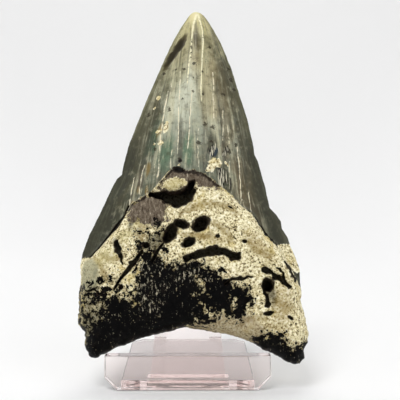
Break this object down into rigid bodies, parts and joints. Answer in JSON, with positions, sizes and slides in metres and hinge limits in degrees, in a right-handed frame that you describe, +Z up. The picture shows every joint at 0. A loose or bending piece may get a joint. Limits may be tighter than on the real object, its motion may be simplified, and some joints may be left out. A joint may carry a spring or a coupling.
{
  "type": "fossil shark tooth on a stand",
  "caption": "Large triangular fossil shark tooth with a rough bilobed root, resting upright on a low clear acrylic display stand.",
  "frame": {"origin": "on the surface the stand rests on, under the middle of the object's bounding box", "axes": "+Z up, towards the tooth's tip; the tooth's display face looks along -Y; +X runs across the tooth"},
  "size_m": [0.0816, 0.0718, 0.1348],
  "materials": {
    "tooth": "satin enamel over a rough crusted root",
    "acrylic": "clear polished acrylic sheet"
  },
  "bodies": {
    "root": {"tooth": "tooth", "stand_front_bar": "acrylic", "stand_base_plate": "acrylic", "stand_back_rest": "acrylic"}
  },
  "joints": []
}
